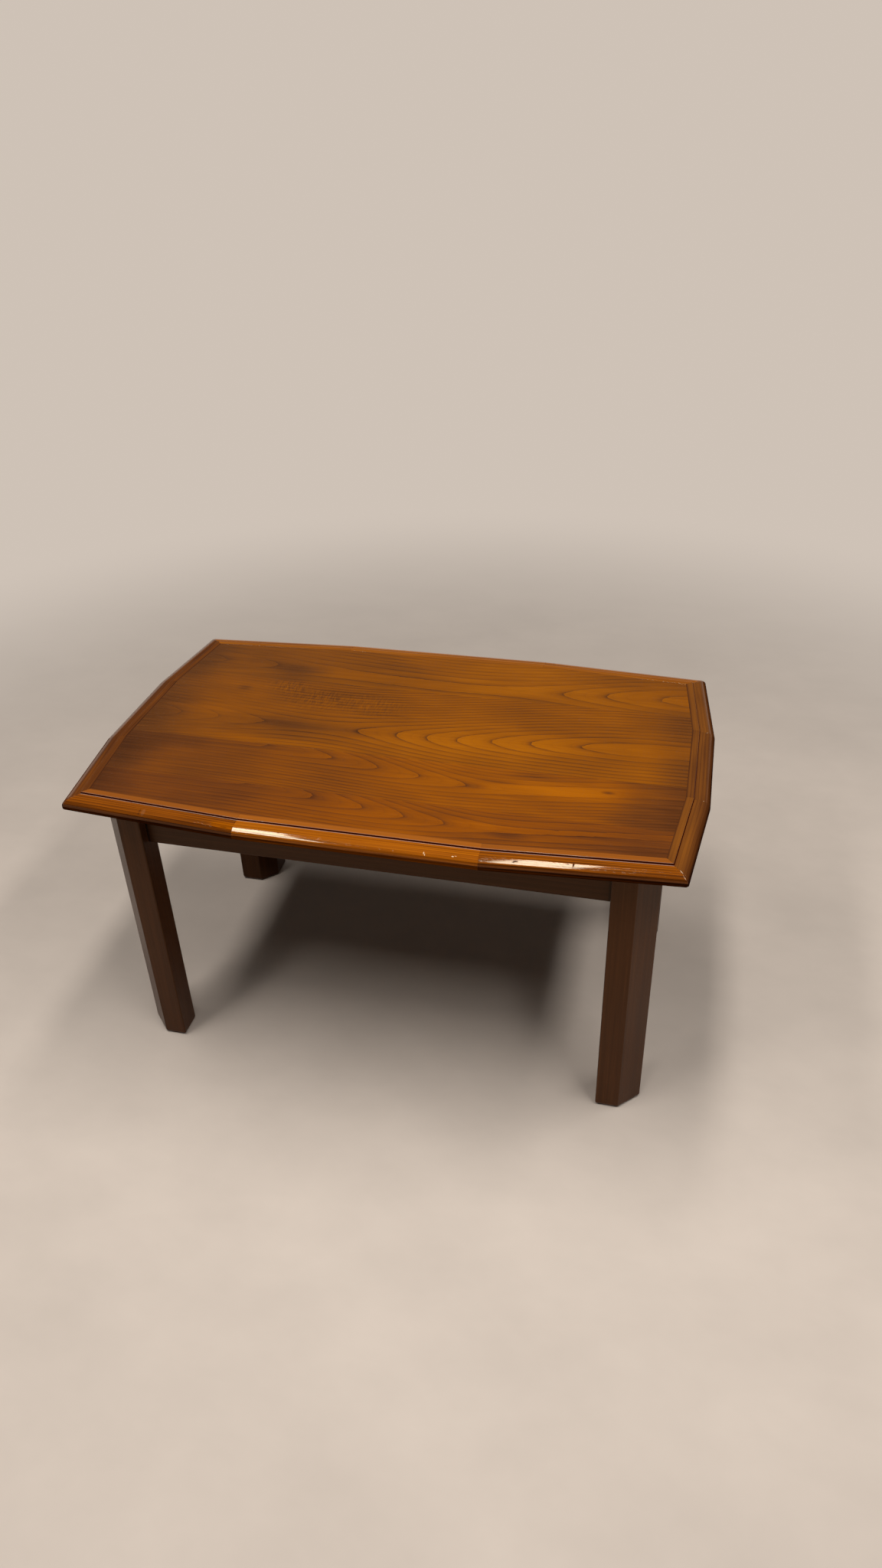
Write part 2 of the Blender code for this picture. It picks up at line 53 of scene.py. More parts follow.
# Camera, as found from the table's corners in the photograph
CAMERA_PLACE = (0.378297, -1.263496, 1.243111)
CAMERA_TURN = math.radians(14.664)
CAMERA_DIP = math.radians(33.782)
CAMERA_ROLL = math.radians(-1.945)
CAMERA_LENS = 24.8736
CAMERA_SENSOR = 36.0

# Kinds of grain: the size of a patch along it and across it, then octaves and the strength of the fine ones
Grain = namedtuple("Grain", "length width octaves roughness", defaults=(2.0, 0.5))

# Lamps: three strips overhead, along the depth of the room
Strip = namedtuple("Strip", "name x width near far height radiance")
STRIPS = (
    Strip("strip_left", -0.95, 0.30, -1.60, 0.10, 2.4, 18.0),
    Strip("strip_right", 0.125, 0.25, -1.15, 0.65, 2.4, 17.0),
    Strip("strip_far_right", 1.25, 0.30, -1.60, 0.55, 2.4, 17.0),
)
LAMP_COLOUR = (1.0, 0.97, 0.93)

# Room: a pale floor and backdrop, with darker walls and a ceiling above. Heights are sines of an angle.
BACKDROP_COLOUR = (0.62, 0.54, 0.47)
ROOM_COLOUR = (0.42, 0.37, 0.325)  # in front of the table, where the backdrop ends
BACKDROP_REACH = (-0.8, 0.6)  # from the room's colour to the backdrop's, as a direction turns to the back
BACKDROP_TOP = 0.18
WALL_START = 0.40
WALL_COLOUR = (0.06, 0.057, 0.053)
CEILING_START = 0.75
CEILING_COLOUR = (0.12, 0.117, 0.114)
FILL_COLOUR = (0.04, 0.0385, 0.037)
FLOOR_COLOUR = (0.62, 0.54, 0.475)
FLOOR_DARKEST = 0.88
FLOOR_LIGHTEST = 1.12
FLOOR_MOTTLE = Grain(220, 160, 4.0, 0.6)
FLOOR_ROUGHNESS = 0.9
FLOOR_RADIUS = 9.0
FLOOR_SIDES = 128
FLOOR_FADE = (0.8, 2.2)

# Rim moulding, from the field outwards: flat band, step down, ledge, round-over, upright edge
RIM_BAND = 0.010
RIM_STEP = 0.0025
RIM_LEDGE = 0.007
RIM_ROUND = 0.015
RIM_UPRIGHT = 0.002
RIM_FOOT_RADIUS = 0.003
RIM_OVERHANG = RIM_LEDGE + RIM_ROUND
RIM_WIDTH = RIM_OVERHANG + RIM_BAND
BAND_ARRIS = 0.0004
RISER_FILLET = 0.0006
BAND_EASE = 0.00003
ROUND_OVER_STEPS = 18
SMALL_STEPS = 5
RIM_END_EASE = 0.00012
RIM_END_GAP = 0.00004
TONGUE_LENGTH = 0.006
TONGUE_THICKNESS = 0.005
TONGUE_ROOM = 0.0003
PIECE_GRAIN_SHIFT = 1.7  # metres of grain between one rim piece and the next
MITRE_WEAR = 0.0010
MITRE_WEAR_LENGTH = 0.0025
MITRE_WEAR_STEPS = 4
PIECES_PER_SIDE = 3

# Boards of the field
FIELD_JOINT = 0.00003
FIELD_EASE = 0.00002

# Legs: square posts with the outer and the inner corner planed off
LEG_SIDE = 0.060
LEG_OUTER_CHAMFER = 0.028
LEG_INNER_CHAMFER = 0.024
LEG_HALF_TURN = math.radians(22.5)  # half the turn from a side to a planed-off corner
LEG_ARRIS = 0.0018
LEG_FOOT_RADIUS = 0.006
LEG_ARRIS_STEPS = 5
LEG_FOOT_STEPS = 6
CORNERS = {"front_left": (-1, -1), "front_right": (1, -1), "back_right": (1, 1), "back_left": (-1, 1)}

SMOOTH_ANGLE = math.radians(35)

# Arrises of the pieces that keep their CAD shape
RAIL_ARRIS = 0.0012
PANEL_ARRIS = 0.0002
BUTTON_ARRIS = 0.0008
STEEL_ARRIS = 0.0002
ARRIS_STEPS = 2
ARRIS_ANGLE = math.radians(40)

PORE_EDGE = (0.22, 0.55)  # from where to where a noise turns into a pore

# Growth rings of the boards, back to front. The ring count falls away from a saddle along the board's
# middle line and climbs to both sides of that line; a dark line runs wherever the count is whole.
# Line is the middle line's y at its turn, from where it rises to the left and to the right. Depth is the
# width of a ring, and blunt rounds the tips. From its peak at the saddle the count falls within the left
# and right reach, by a power, and stays level past the last x.
Figure = namedtuple(
    "Figure",
    "line turn rise_left rise_right depth blunt saddle left right last power peak fall",
)
BACK_FIGURE = Figure(
    line=144.0, turn=45, rise_left=32.6, rise_right=32.7, depth=8.4, blunt=4.9,
    saddle=9, left=385, right=277, last=400, power=4, peak=0.75, fall=4.06,
)
MIDDLE_BACK_FIGURE = Figure(
    line=-6.8, turn=0, rise_left=4, rise_right=36.5, depth=7.0, blunt=5.0,
    saddle=-130, left=380, right=281, last=300, power=2, peak=0.45, fall=10.0,
)
MIDDLE_FRONT_FIGURE = Figure(
    line=-113, turn=130, rise_left=73, rise_right=58, depth=5.5, blunt=5.8,
    saddle=190, left=260, right=260, last=190, power=2, peak=0.635, fall=6.86,
)
FRONT_FIGURE = Figure(
    line=-202, turn=125, rise_left=63, rise_right=45, depth=5.5, blunt=5.8,
    saddle=190, left=230, right=230, last=190, power=2, peak=0.90, fall=6.78,
)
FIGURE_TURN_REACH = 250
FIGURE_LAST_EASE = 60
RING_WAVER = Grain(90, 30)
RING_WAVER_DEPTH = 0.14
RING_RIPPLE = Grain(16, 4)
RING_RIPPLE_DEPTH = 0.05

# Tone of the boards: shades run along a board between two places, patches are soft ovals
Shade = namedtuple("Shade", "start end tone")
Patch = namedtuple("Patch", "x y width height tone")
Board = namedtuple("Board", "figure tips flanks green shades patches curl", defaults=((),))
# Painted shade: every board darker over the left half of the table, where less light falls
LEFT_HALF_PAINTED_SHADE = Shade(70, -150, -0.09)
LEFT_END = Shade(-310, -400, -0.17)
CURL = (
    Patch(-215, 100, 50, 26, 1.0),
    Patch(-155, 72, 85, 44, 0.8),
    Patch(-70, 68, 75, 44, 0.6),
)
BOARDS = {
    "back": Board(BACK_FIGURE, tips=0.85, flanks=0.45, green=1.08, shades=(
        LEFT_HALF_PAINTED_SHADE,
        LEFT_END,
        Shade(20, 90, 0.10),
        Shade(320, 390, -0.08),
    ), patches=(
        Patch(-240, 122, 130, 24, -0.07),
        Patch(360, 125, 60, 22, -0.05),
        Patch(150, 128, 110, 24, -0.15),
        Patch(-215, 155, 70, 26, -0.16),
        Patch(130, 212, 130, 36, 0.08),
        Patch(200, 152, 50, 20, -0.06),
        Patch(-60, 190, 110, 30, -0.06),
    )),
    "middle_back": Board(MIDDLE_BACK_FIGURE, tips=1.0, flanks=0.75, green=1.06, shades=(
        LEFT_HALF_PAINTED_SHADE,
        LEFT_END,
        Shade(20, 90, 0.06),
        Shade(325, 395, -0.16),
    ), patches=(
        Patch(-200, -57, 170, 18, 0.15),
        Patch(390, -25, 60, 45, -0.08),
        Patch(-230, 112, 110, 20, -0.05),
        Patch(-165, -6, 90, 26, -0.14),
        Patch(95, 0, 230, 80, 0.13),
        Patch(-280, 85, 18, 14, -0.12),
        Patch(-200, 70, 60, 40, -0.05),
        Patch(-290, 45, 90, 60, 0.05),
    ), curl=CURL),
    "middle_front": Board(MIDDLE_FRONT_FIGURE, tips=0.60, flanks=0.50, green=1.0, shades=(
        LEFT_HALF_PAINTED_SHADE,
        Shade(-100, -300, -0.08),
        Shade(-300, -400, -0.16),
        Shade(20, 90, 0.06),
        Shade(280, 345, -0.22),
        Shade(340, 400, -0.08),
    ), patches=(
        Patch(235, -104, 130, 28, 0.16),
        Patch(285, -150, 80, 20, -0.10),
        Patch(195, -75, 50, 12, -0.14),
        Patch(150, -98, 42, 9, -0.14),
        Patch(295, -95, 13, 5, -0.34),
        Patch(120, -113, 30, 12, -0.12),
        Patch(-190, -75, 130, 16, -0.02),
        Patch(-370, -140, 40, 40, -0.06),
    )),
    "front": Board(FRONT_FIGURE, tips=0.58, flanks=0.48, green=0.96, shades=(
        LEFT_HALF_PAINTED_SHADE,
        Shade(-100, -300, -0.12),
        Shade(-300, -400, -0.14),
        Shade(-40, 110, 0.01),
        Shade(190, 330, -0.14),
        Shade(300, 390, -0.06),
    ), patches=(
        Patch(-175, -186, 80, 40, -0.08),
        Patch(185, -212, 45, 10, -0.20),
        Patch(140, -198, 60, 14, 0.06),
    )),
}

# Lines of the boards: sharp at the tips of the figure, softer on its flanks, and clearest in the middle
FLANK_EDGE = (1.0, 5.0)  # in rings off the board's middle line
TIP_SHARPNESS = 12.0
FLANK_SHARPNESS = 6.0
FINE_LINES = 3.0  # to each ring
FINE_LINE_SHIFT = 0.4
FINE_LINE_SHARPNESS = 5.0
LINE_PATCHES = Grain(130, 24)
LINE_PATCHES_DEPTH = 0.5
LINE_WEIGHT = 0.85
LINE_CLEARNESS = 0.25
CLEAR_SHADES = (Shade(-330, -30, 0.75), Shade(280, 340, -0.35))
FLANK_SHADE = (-20, 160)

# Grain of the boards, and how much each part of it adds to their tone, roughness and relief
FIELD_PORES = Grain(7, 0.30, 1.0)
FIELD_FIBRE = Grain(70, 0.7, 3.0, 0.6)
FIELD_STREAK = Grain(220, 5, 3.0, 0.55)
FIELD_CLOUD = Grain(120, 60)
FIELD_BLOTCH = Grain(260, 130)
FIELD_LIGHTNESS = 0.47
FIELD_TONE = {
    "cloud": 0.12, "blotch": 0.10, "streak": 0.12, "fibre": 0.09, "rings": 0.08, "lines": -0.46,
    "fine_lines": -0.05, "flanks": -0.09, "pores": -0.06, "line_pores": -0.12,
}
CURL_WAVER = Grain(20, 30)
CURL_WAVER_DEPTH = 6.0
CURL_RIPPLE = Grain(2.6, 17, 1.0)
CURL_DEPTH = 0.34
FIELD_SPECULAR = 0.35
FIELD_ROUGHNESS = 0.22
FIELD_ROUGHNESS_PARTS = {"cloud": 0.04, "streak": 0.03}
FIELD_RELIEF = {"pores": -1.0, "fibre": 0.3}
FIELD_RELIEF_DEPTH = 0.00003

# Rim pieces, anticlockwise from the front-left one, with the lightness of each. The side pieces are darker,
# partly as painted shade for how they face the light.
RIM_LIGHTNESS_WITH_SHADE = {
    "front_left": 0.41, "front_middle": 0.60, "front_right": 0.43,
    "right_front": 0.31, "right_middle": 0.29, "right_back": 0.31,
    "back_right": 0.50, "back_middle": 0.52, "back_left": 0.49,
    "left_back": 0.26, "left_middle": 0.24, "left_front": 0.25,
}
RIM_FACETS = tuple(RIM_LIGHTNESS_WITH_SHADE)

# Places round the rim's section, from the field outwards. A third number is the width of soft edges.
BAND_END = RIM_BAND * MM
RISER_END = BAND_END + RIM_STEP * MM
INNER_EDGE = (0.1, 2.5)
BAND_EDGE = (BAND_END - 0.6, BAND_END - 0.1)
# The painted highlight runs on the upper arris and on the ledge line
UPPER_ARRIS = (BAND_END - 0.7, BAND_END - 0.2, 0.2)
UPPER_HIGHLIGHT_SHARE = 0.6
# Risers: where dark glaze and painted shade fill the step; on the short sides they reach onto the ledge
LONG_RISER = (BAND_END - 0.1, RISER_END - 0.1, 0.1)
SHORT_RISER = (BAND_END + 0.2, RISER_END + 0.4, 0.15)
LEDGE_LINE = (RISER_END + 0.1, RISER_END + 0.8, 0.2)

# Heights above the rim's underside
LOWER_EDGE = (4.0, 10.0)
# Darker towards the lower edge: toned stain and painted shade of the under-facing round
LOWER_STAIN_AND_SHADE = (4.0, 16.0)
SHORT_DULL = (12.0, 15.45)

# Sides of the rim. The grain is bolder on the long ones, and a painted highlight runs as a pale line along
# their band's arris and the ledge at the foot of the riser. The gloss ends below the dull heights. Inner is
# the tone at the joint with the field, and calm is how even the flat band is.
RimSide = namedtuple("RimSide", "boldness riser dull inner pale tint calm")
LONG_SIDE = {"boldness": 1.0, "riser": LONG_RISER, "dull": LOWER_EDGE, "inner": -0.12, "pale": 0.5}
SHORT_SIDE = {"boldness": 0.5, "riser": SHORT_RISER, "dull": SHORT_DULL, "inner": -0.16, "pale": 0.0}
RIM_SIDES = {
    "front": RimSide(**LONG_SIDE, tint=(1.0, 0.87, 0.25), calm=0.6),
    "right": RimSide(**SHORT_SIDE, tint=(1.0, 1.12, 1.5), calm=0.0),
    "back": RimSide(**LONG_SIDE, tint=(1.0, 1.0, 1.0), calm=0.0),
    "left": RimSide(**SHORT_SIDE, tint=(1.0, 1.0, 1.0), calm=0.0),
}

# Grain of the rim, and how much each part of it adds to its tone, dullness, roughness and relief
RIM_LINE_SPACING = 4.2
RIM_LINE_SHARPNESS = 2.0
RIM_WAVER = Grain(420, 9)
RIM_WAVER_DEPTH = 0.9
RIM_LINE_PATCHES = Grain(150, 6)
RIM_LINE_PATCHES_DEPTH = 0.8
RIM_LINE_WEIGHT = 0.8
BAND_LINE_LOSS = 0.5
RIM_FIBRE = Grain(60, 0.5, 3.0, 0.6)
RIM_STREAK = Grain(170, 2.2)
RIM_CLOUD = Grain(140, 30)
RIM_PORES = Grain(6, 0.28, 1.0)
RIM_BOLD_LIFT = 0.09
RIM_TONE = {
    "cloud": 0.12, "streak": 0.22, "fibre": 0.06, "lines": -0.34, "pores": -0.05, "lower": -0.38,
    "dents": -0.35, "rubbed": 0.14,
}
RIM_SPECULAR = 0.66
RIM_DULLNESS = {"dull": 1.0, "rubbed": 1.0, "riser": 0.9, "dents": 0.95, "lines": 0.40, "pores": 0.20}
RIM_ROUGHNESS = 0.05
RIM_ROUGHNESS_PARTS = {"cloud": 0.015, "lower": 0.4, "riser": 0.4, "dents": 0.3}
RIM_RELIEF = {"pores": -0.15, "fibre": 0.05, "streak": 0.6, "dents": -1.0}
RIM_RELIEF_DEPTH = 0.00005

# Marks of wear on the rim: along a piece from its left end, then round its section from the field
MARK_EDGE = (0.1, 0.6)
SCUFF_COVER = 0.9
SCUFFS = {
    "front_left": (
        Patch(120.0, 27.0, 4.0, 8.0, 0.04),
    ),
    "front_middle": (
        Patch(249.5, 29.0, 0.9, 2.6, 1.0),
        Patch(251.0, 31.0, 0.8, 2.2, 0.8),
        Patch(285.5, 28.9, 2.2, 1.1, 1.0),
        Patch(289.0, 28.0, 2.2, 0.7, 0.6),
    ),
}
DENTS = {
    "front_left": (
        Patch(114.5, 27.0, 2.0, 8.0, 0.25),
        Patch(236.0, 28.5, 8.0, 0.8, 0.6),
    ),
    "front_right": (
        Patch(44.5, 27.2, 4.5, 1.3, 0.9),
        Patch(42.0, 28.4, 2.5, 1.0, 0.7),
        Patch(113.5, 25.6, 1.4, 4.6, 1.0),
        Patch(107.0, 25.0, 2.6, 0.8, 0.7),
    ),
}
RUBBED = {
    "front_left": (
        Patch(242.0, 26.0, 45.0, 9.0, 1.0),
    ),
}

# Stain of the legs and aprons, with painted shade in the corners between them
# Painted light and shade: each leg lighter or darker by how the lamps fall on it, the back-left one darkest
LEG_LIGHT_AND_SHADE = {"front_left": 0.53, "front_right": 0.61, "back_right": 0.50, "back_left": 0.42}
# Painted shade: the aprons darker than the legs, as they stand in shade under the top
APRON_SHADED_LIGHTNESS = 0.43
JOINT_SHADE = (1.5, 4.5)
JOINT_SHADE_DEPTH = 0.6
STAIN_STREAK = Grain(320, 5, 3.0, 0.55)
STAIN_FIBRE = Grain(60, 0.8, 3.0, 0.6)
STAIN_PORES = Grain(8, 0.4, 1.0)
STAIN_CLOUD = Grain(160, 60)
STAIN_TONE = {"cloud": 0.10, "streak": 0.30, "fibre": 0.16, "pores": -0.16}
STAIN_SPECULAR = 0.26
STAIN_ROUGHNESS = 0.36
STAIN_ROUGHNESS_PARTS = {"cloud": 0.05, "fibre": 0.05}
STAIN_RELIEF = {"pores": -1.0, "fibre": 0.5}
STAIN_RELIEF_DEPTH = 0.00005

# Bare wood under the top
PLAIN_STREAK = Grain(180, 5, 3.0, 0.55)
PLAIN_FIBRE = Grain(40, 0.7, 3.0, 0.6)
PLAIN_LIGHTNESS = 0.5
PLAIN_TONE = {"streak": 0.3, "fibre": 0.2}
PLAIN_SPECULAR = 0.3
PLAIN_ROUGHNESS = 0.7
PLAIN_RELIEF_DEPTH = 0.00005

# Zinc-plated steel
STEEL_SPANGLE = Grain(6, 6, 3.0, 0.6)
STEEL_SCRATCH = Grain(30, 0.5)
STEEL_LIGHTNESS = 0.5
STEEL_TONE = {"spangle": 0.25, "scratch": 0.15}
STEEL_ROUGHNESS = 0.34
STEEL_ROUGHNESS_PARTS = {"spangle": 0.08, "scratch": 0.06}

# Colours by tone, dark to light, in linear light
FIELD_COLOURS = (
    (0.00, (0.035, 0.011, 0.004)),
    (0.25, (0.110, 0.032, 0.006)),
    (0.50, (0.225, 0.060, 0.002)),
    (0.75, (0.345, 0.098, 0.0012)),
    (1.00, (0.480, 0.152, 0.006)),
)
RIM_COLOURS = (
    (0.00, (0.020, 0.005, 0.002)),
    (0.25, (0.090, 0.024, 0.004)),
    (0.50, (0.250, 0.072, 0.005)),
    (0.75, (0.390, 0.125, 0.008)),
    (1.00, (0.560, 0.210, 0.030)),
)
FRAME_COLOURS = (
    (0.00, (0.008, 0.002, 0.001)),
    (0.35, (0.032, 0.009, 0.002)),
    (0.65, (0.064, 0.020, 0.005)),
    (1.00, (0.125, 0.046, 0.014)),
)
PLAIN_COLOURS = (
    (0.00, (0.084, 0.049, 0.024)),
    (0.50, (0.217, 0.136, 0.073)),
    (1.00, (0.336, 0.231, 0.133)),
)
STEEL_COLOURS = (
    (0.00, (0.36, 0.36, 0.35)),
    (0.50, (0.56, 0.56, 0.54)),
    (1.00, (0.72, 0.71, 0.68)),
)
BAND_COLOUR = (0.278, 0.085, 0.012)
# Dark glaze and painted shade in the step's riser
GLAZE_AND_SHADE_COLOUR = (0.038, 0.0015, 0.0003)
GLAZE_AND_SHADE_COVER = 0.96
# Painted highlight along the band's arris and the foot of the riser
PAINTED_HIGHLIGHT_COLOUR = (0.50, 0.36, 0.29)
SCUFF_COLOUR = (0.85, 0.62, 0.36)
LACQUER_TINT = (1.0, 0.74, 0.38, 1.0)
RIM_LACQUER_TINT = (1.0, 0.90, 0.68, 1.0)
FRAME_LACQUER_TINT = (1.0, 0.60, 0.32, 1.0)


# Shader formulas

class Signal:
    """A number that varies over a surface. Formulas written with it become shader nodes."""

    def __init__(self, tree, socket):
        self.tree = tree
        self.socket = socket

    def math(self, operation, *others):
        node = self.tree.nodes.new("ShaderNodeMath")
        node.operation = operation
        for socket, value in zip(node.inputs, (self, *others)):
            feed(socket, value)
        return Signal(self.tree, node.outputs[0])

    def __add__(self, other):
        return self.math("ADD", other)

    def __sub__(self, other):
        return self.math("SUBTRACT", other)

    def __mul__(self, other):
        return self.math("MULTIPLY", other)

    def __truediv__(self, other):
        return self.math("DIVIDE", other)

    def __pow__(self, other):
        return self.math("POWER", other)

    def __rsub__(self, other):
        return self * -1.0 + other

    def rise(self, low, high):
        """0 below low, 1 above high, and a smooth climb between them; the other way round if low is above."""
        node = self.tree.nodes.new("ShaderNodeMapRange")
        node.interpolation_type = "SMOOTHSTEP"
        feed(node.inputs["Value"], self)
        node.inputs["From Min"].default_value = low
        node.inputs["From Max"].default_value = high
        return Signal(self.tree, node.outputs["Result"])

    def between(self, low, high, edge):
        """1 from low to high, and 0 an edge's width outside."""
        return self.rise(low - edge, low) * (1.0 - self.rise(high, high + edge))


def feed(socket, value):
    if isinstance(value, Signal):
        socket.node.id_data.links.new(value.socket, socket)
    else:
        socket.default_value = value


def place_signals(tree):
    """Where a point of the table is, in millimetres."""
    coordinates = tree.nodes.new("ShaderNodeTexCoord")
    parts = tree.nodes.new("ShaderNodeSeparateXYZ")
    tree.links.new(coordinates.outputs["Object"], parts.inputs[0])
    return [Signal(tree, output) * MM for output in parts.outputs]


def grain_signals(tree):
    """Along and across the grain of a swept piece, in millimetres."""
    grain = tree.nodes.new("ShaderNodeUVMap")
    grain.uv_map = "grain"
    parts = tree.nodes.new("ShaderNodeSeparateXYZ")
    tree.links.new(grain.outputs["UV"], parts.inputs[0])
    return [Signal(tree, output) * MM for output in parts.outputs[:2]]


def joined(tree, place):
    node = tree.nodes.new("ShaderNodeCombineXYZ")
    for socket, value in zip(node.inputs, place):
        feed(socket, value)
    return node.outputs[0]


def texture(place, grain, axis=ALONG_X):
    """Soft random values about 0, at most 1 either way, with the grain along one axis of the place."""
    tree = place[0].tree
    node = tree.nodes.new("ShaderNodeTexNoise")
    node.inputs["Scale"].default_value = 1.0
    node.inputs["Detail"].default_value = grain.octaves
    node.inputs["Roughness"].default_value = grain.roughness
    scaled = [value / (grain.length if i == axis else grain.width) for i, value in enumerate(place)]
    tree.links.new(joined(tree, scaled), node.inputs["Vector"])
    return (Signal(tree, node.outputs[0]) - 0.5) * 2.0


def weighted(base, weights, **signals):
    """A base with signals added to it, each by its own weight."""
    total = base
    for name, signal in signals.items():
        total = signal * weights[name] + total
    return total


def shaded(x, tone, shades):
    """A tone that changes along the table by each shade."""
    for shade in shades:
        tone = x.rise(shade.start, shade.end) * shade.tone + tone
    return tone


def blob(x, y, patch):
    """1 in the middle of a patch, falling smoothly to 0 at its edge."""
    tree = x.tree
    node = tree.nodes.new("ShaderNodeTexGradient")
    node.gradient_type = "SPHERICAL"
    place = ((x - patch.x) / patch.width, (y - patch.y) / patch.height)
    tree.links.new(joined(tree, place), node.inputs["Vector"])
    return Signal(tree, node.outputs[1]).rise(0.0, 1.0)


def tinted(stops, tint):
    return [(place, [part * share for part, share in zip(colour, tint)]) for place, colour in stops]


def ramp(tone, stops):
    node = tone.tree.nodes.new("ShaderNodeValToRGB")
    elements = node.color_ramp.elements
    while len(elements) < len(stops):
        elements.new(1.0)
    for element, (place, colour) in zip(elements, stops):
        element.position = place
        element.color = (*colour, 1.0)
    feed(node.inputs[0], tone)
    return node.outputs["Color"]


def blend(amount, under, over):
    """One colour over another, by a signal. The upper colour is plain."""
    node = amount.tree.nodes.new("ShaderNodeMix")
    node.data_type = "RGBA"
    feed(node.inputs["Factor"], amount)
    node.id_data.links.new(under, node.inputs["A"])
    node.inputs["B"].default_value = (*over, 1.0)
    return node.outputs["Result"]


def new_finish(name, **numbers):
    """A material, with plain numbers on its shader's own sockets."""
    material = bpy.data.materials.new(name)
    material.use_nodes = True
    shader = material.node_tree.nodes["Principled BSDF"]
    for socket, value in numbers.items():
        shader.inputs[socket.replace("_", " ")].default_value = value
    return material, material.node_tree, shader


def relief(shader, height, depth):
    """Relief of a surface, from a signal that varies by about 1 and its depth in metres."""
    node = height.tree.nodes.new("ShaderNodeBump")
    node.inputs["Strength"].default_value = 1.0
    node.inputs["Distance"].default_value = depth
    feed(node.inputs["Height"], height)
    height.tree.links.new(node.outputs["Normal"], shader.inputs["Normal"])


# Finishes

def hump(distance, reach, power):
    """0 at no distance, a half at the reach, and towards 1 beyond it."""
    share = distance.math("ABSOLUTE") / reach
    share = share ** float(power)
    return share / (share + 1.0)


def growth_rings(x, y, figure):
    """How many rings a point lies from the heart of a board's figure, and how many off its middle line."""
    from_turn = x - figure.turn
    past_turn = from_turn.math("GREATER_THAN", 0.0)
    lift = past_turn * (figure.rise_right - figure.rise_left) + figure.rise_left
    line = lift * hump(from_turn, FIGURE_TURN_REACH, 2) + figure.line
    off_line = (y - line) / figure.depth
    side = (off_line * off_line + figure.blunt ** 2).math("SQRT") - figure.blunt
    from_saddle = x.math("SMOOTH_MIN", figure.last, FIGURE_LAST_EASE) - figure.saddle
    past_saddle = from_saddle.math("GREATER_THAN", 0.0)
    reach = past_saddle * (figure.right - figure.left) + figure.left
    rings = side - hump(from_saddle, reach, figure.power) * figure.fall + figure.peak
    return rings, off_line.math("ABSOLUTE")


def board_lines(x, y, board):
    """The place inside a ring, the dark lines, the fine lines between them, and the flanks of the figure."""
    rings, off_line = growth_rings(x, y, board.figure)
    rings = rings + texture((x, y), RING_WAVER) * RING_WAVER_DEPTH
    rings = rings + texture((x, y), RING_RIPPLE) * RING_RIPPLE_DEPTH
    inside = rings.math("FRACT")
    outside = 1.0 - inside
    flank = off_line.rise(*FLANK_EDGE)
    tip_line = outside ** TIP_SHARPNESS * (1.0 - flank) * board.tips
    line = tip_line + outside ** FLANK_SHARPNESS * flank * board.flanks
    inside_fine = (rings * FINE_LINES + FINE_LINE_SHIFT).math("FRACT")
    fine_line = (1.0 - inside_fine) ** FINE_LINE_SHARPNESS
    return inside, line, fine_line, flank


def curled(x, y, tone, patches):
    """A tone with a ripple across the grain in some patches."""
    waver = texture((x, y), CURL_WAVER) * CURL_WAVER_DEPTH
    ripple = texture((x + waver, y), CURL_RIPPLE)
    for patch in patches:
        tone = tone + ripple * blob(x, y, patch) * patch.tone * CURL_DEPTH
    return tone


def board_finish(name, board):
    """Flat-sawn, ring-porous wood under a toned semi-gloss lacquer."""
    material, tree, shader = new_finish(
        f"lacquered_field_{name}", Specular_IOR_Level=FIELD_SPECULAR, Specular_Tint=LACQUER_TINT
    )
    x, y, _ = place_signals(tree)
    inside, line, fine_line, flank = board_lines(x, y, board)
    clear = shaded(x, LINE_CLEARNESS, CLEAR_SHADES)
    weight = (texture((x, y), LINE_PATCHES) * LINE_PATCHES_DEPTH + LINE_WEIGHT) * clear
    pores = texture((x, y), FIELD_PORES).rise(*PORE_EDGE)
    fibre = texture((x, y), FIELD_FIBRE)
    streak = texture((x, y), FIELD_STREAK)
    cloud = texture((x, y), FIELD_CLOUD)
    blotch = texture((x, y), FIELD_BLOTCH)
    tone = weighted(
        FIELD_LIGHTNESS, FIELD_TONE, cloud=cloud, blotch=blotch, streak=streak, fibre=fibre,
        rings=inside * clear, lines=line * weight, fine_lines=fine_line * clear,
        flanks=flank * x.rise(*FLANK_SHADE), pores=pores, line_pores=pores * line * clear,
    )
    tone = shaded(x, tone, board.shades)
    for patch in board.patches:
        tone = tone + blob(x, y, patch) * patch.tone
    if board.curl:
        tone = curled(x, y, tone, board.curl)
    colour = ramp(tone, tinted(FIELD_COLOURS, (1.0, board.green, 1.0)))
    tree.links.new(colour, shader.inputs["Base Color"])
    roughness = weighted(FIELD_ROUGHNESS, FIELD_ROUGHNESS_PARTS, cloud=cloud, streak=streak)
    feed(shader.inputs["Roughness"], roughness)
    relief(shader, weighted(0.0, FIELD_RELIEF, pores=pores, fibre=fibre), FIELD_RELIEF_DEPTH)
    return material


def marks(along, across, facet, patches):
    """1 in the small marks of one rim piece, and 0 elsewhere."""
    start = RIM_FACETS.index(facet) * PIECE_GRAIN_SHIFT * MM
    total = along * 0.0
    for patch in patches.get(facet, ()):
        total = total + blob(along - start, across, patch).rise(*MARK_EDGE) * patch.tone
    return total.math("MINIMUM", 1.0)


def rim_lines(along, across):
    """Dark lines along a rim piece, and how strong each is there."""
    rings = across / RIM_LINE_SPACING + texture((along, across), RIM_WAVER) * RIM_WAVER_DEPTH
    weight = texture((along, across), RIM_LINE_PATCHES) * RIM_LINE_PATCHES_DEPTH + RIM_LINE_WEIGHT
    return (1.0 - rings.math("FRACT")) ** RIM_LINE_SHARPNESS * weight


